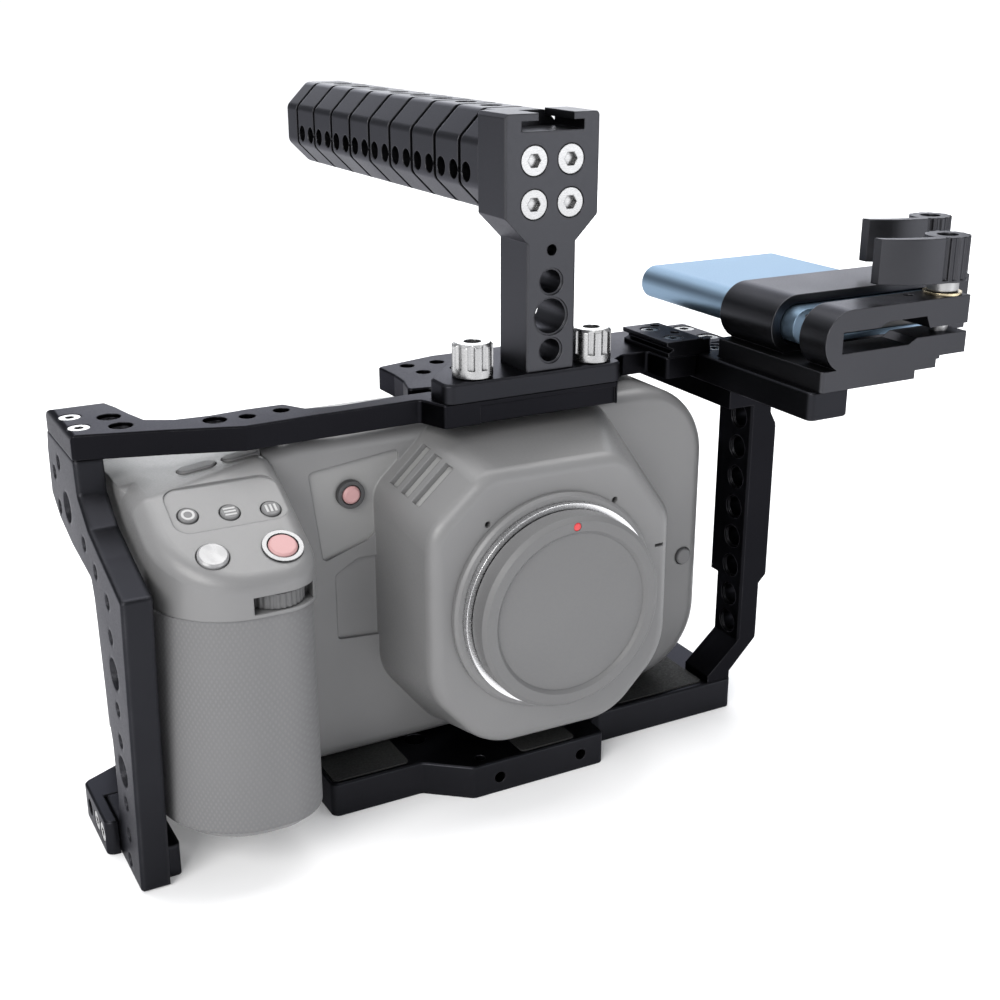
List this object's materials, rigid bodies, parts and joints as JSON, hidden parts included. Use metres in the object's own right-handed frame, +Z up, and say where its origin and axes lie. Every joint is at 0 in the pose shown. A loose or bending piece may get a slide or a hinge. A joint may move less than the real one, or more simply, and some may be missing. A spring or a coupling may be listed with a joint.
{
  "type": "cinema camera rig",
  "caption": "Compact cinema camera in a machined cage with a perforated top handle and a sprung side clamp that holds a slim portable drive.",
  "frame": {"origin": "middle of the 1/4 inch tripod thread on the underside of the base plate, below the lens axis", "axes": "+Z up; +Y from the lens towards the screen and the handle's free end; +X towards the drive clamp"},
  "size_m": [0.2666, 0.2008, 0.1875],
  "materials": {
    "anodised": "black anodised, satin",
    "rubber": "matt rubber",
    "grip_rubber": "textured rubber",
    "steel": "bright machined",
    "brass": "machined",
    "housing": "fine moulded texture",
    "cap_plastic": "matt",
    "button_plastic": "satin",
    "record_red": "satin",
    "chrome": "polished",
    "screen": "gloss",
    "drive_blue": "blue anodised, satin",
    "battery_case": "matt",
    "sensor": "coated glass"
  },
  "bodies": {
    "rig": {"bottom_plate": "anodised", "bottom_pads": "rubber", "tripod_screw": "steel", "left_arm": "anodised", "left_arm_screws": "steel", "right_arm": "anodised", "right_arm_screws": "steel", "top_plate": "anodised", "accessory_rail": "anodised", "accessory_rail_screws": "steel", "clamp_bar": "anodised", "clamp_bar_screws": "steel", "handle_base": "anodised", "handle_post": "anodised", "handle_post_screws": "steel", "handle_grip": "anodised", "grip_screws": "steel", "clamp_body": "anodised", "clamp_body_screws": "steel", "clamp_pads": "rubber", "wing_washers": "brass", "camera_front": "housing", "camera_rear": "housing", "grip_cover": "grip_rubber", "mount_collar": "housing", "mount_ring": "chrome", "mount_throat": "cap_plastic", "sensor_stack": "sensor", "record_bezel": "chrome", "front_record_bezel": "cap_plastic", "screen_glass": "screen", "battery": "battery_case", "strap_lugs": "steel", "vent_insert": "cap_plastic"},
    "thumb_left": {"thumb_screw_left": "steel"},
    "thumb_right": {"thumb_screw_right": "steel"},
    "wing_front": {"wing_screw_front": "anodised"},
    "wing_rear": {"wing_screw_rear": "anodised"},
    "drive": {"drive_case": "drive_blue", "drive_port_plate": "cap_plastic"},
    "cap": {"body_cap": "cap_plastic"},
    "release": {"lens_release": "button_plastic"},
    "record": {"record_button": "record_red"},
    "stills": {"stills_button": "button_plastic"},
    "function_1": {"function_button_1": "button_plastic"},
    "function_2": {"function_button_2": "button_plastic"},
    "function_3": {"function_button_3": "button_plastic"},
    "front_record": {"front_record_button": "record_red"},
    "dial": {"control_dial": "button_plastic"},
    "top_left": {"top_button_left": "button_plastic"},
    "top_right": {"top_button_right": "button_plastic"},
    "power": {"power_switch": "button_plastic"},
    "rear_1": {"rear_button_1": "button_plastic"},
    "rear_2": {"rear_button_2": "button_plastic"},
    "rear_3": {"rear_button_3": "button_plastic"},
    "battery_hatch": {"battery_door": "housing"},
    "card_hatch": {"card_door": "housing"},
    "ports": {"port_flap": "rubber"}
  },
  "joints": [
    {"name": "thumb_left_turn", "type": "hinge", "parent": "rig", "child": "thumb_left", "pos_m": [-0.0133, -0.0062, 0.124], "axis": [0, 0, 1], "continuous": true},
    {"name": "thumb_right_turn", "type": "hinge", "parent": "rig", "child": "thumb_right", "pos_m": [0.024, -0.0062, 0.124], "axis": [0, 0, 1], "continuous": true},
    {"name": "wing_front_turn", "type": "hinge", "parent": "rig", "child": "wing_front", "pos_m": [0.117, -0.0445, 0.146], "axis": [0, 0, 1], "range_deg": [0, 160]},
    {"name": "wing_rear_turn", "type": "hinge", "parent": "rig", "child": "wing_rear", "pos_m": [0.1386, -0.0155, 0.146], "axis": [0, 0, -1], "range_deg": [0, 160]},
    {"name": "drive_slide", "type": "slide", "parent": "rig", "child": "drive", "axis": [0, 1, 0], "range_m": [0, 0.045]},
    {"name": "cap_twist", "type": "hinge", "parent": "rig", "child": "cap", "pos_m": [0, -0.036, 0.0595], "axis": [0, -1, 0], "range_deg": [0, 50]},
    {"name": "lens_release_press", "type": "slide", "parent": "rig", "child": "release", "axis": [0, 1, 0], "range_m": [0, 0.0014], "stiffness_N_per_m": 400},
    {"name": "record_press", "type": "slide", "parent": "rig", "child": "record", "axis": [0, 0.4695, -0.8829], "range_m": [0, 0.0008], "stiffness_N_per_m": 350},
    {"name": "stills_press", "type": "slide", "parent": "rig", "child": "stills", "axis": [0, 0.4695, -0.8829], "range_m": [0, 0.0008], "stiffness_N_per_m": 350},
    {"name": "function_1_press", "type": "slide", "parent": "rig", "child": "function_1", "axis": [0, 0.4695, -0.8829], "range_m": [0, 0.0006], "stiffness_N_per_m": 350},
    {"name": "function_2_press", "type": "slide", "parent": "rig", "child": "function_2", "axis": [0, 0.4695, -0.8829], "range_m": [0, 0.0006], "stiffness_N_per_m": 350},
    {"name": "function_3_press", "type": "slide", "parent": "rig", "child": "function_3", "axis": [0, 0.4695, -0.8829], "range_m": [0, 0.0006], "stiffness_N_per_m": 350},
    {"name": "front_record_press", "type": "slide", "parent": "rig", "child": "front_record", "axis": [0, 1, 0], "range_m": [0, 0.0008], "stiffness_N_per_m": 350},
    {"name": "dial_turn", "type": "hinge", "parent": "rig", "child": "dial", "pos_m": [-0.0804, -0.0304, 0.0795], "axis": [0, 0, 1], "continuous": true},
    {"name": "top_left_press", "type": "slide", "parent": "rig", "child": "top_left", "axis": [0.1219, 0, -0.9925], "range_m": [0, 0.0005], "stiffness_N_per_m": 350},
    {"name": "top_right_press", "type": "slide", "parent": "rig", "child": "top_right", "axis": [0.1219, 0, -0.9925], "range_m": [0, 0.0005], "stiffness_N_per_m": 350},
    {"name": "power_slide", "type": "slide", "parent": "rig", "child": "power", "axis": [1, 0, 0], "range_m": [0, 0.0043]},
    {"name": "rear_1_press", "type": "slide", "parent": "rig", "child": "rear_1", "axis": [0, -1, 0], "range_m": [0, 0.0005], "stiffness_N_per_m": 350},
    {"name": "rear_2_press", "type": "slide", "parent": "rig", "child": "rear_2", "axis": [0, -1, 0], "range_m": [0, 0.0005], "stiffness_N_per_m": 350},
    {"name": "rear_3_press", "type": "slide", "parent": "rig", "child": "rear_3", "axis": [0, -1, 0], "range_m": [0, 0.0005], "stiffness_N_per_m": 350},
    {"name": "battery_door_swing", "type": "hinge", "parent": "rig", "child": "battery_hatch", "pos_m": [-0.089, 0.021, 0.013], "axis": [1, 0, 0], "range_deg": [0, 90]},
    {"name": "card_door_swing", "type": "hinge", "parent": "rig", "child": "card_hatch", "pos_m": [-0.1078, 0.0396, 0.053], "axis": [0, 0, -1], "range_deg": [0, 100]},
    {"name": "port_flap_swing", "type": "hinge", "parent": "rig", "child": "ports", "pos_m": [0.0698, 0.0196, 0.055], "axis": [0, 0, 1], "range_deg": [0, 95]}
  ]
}
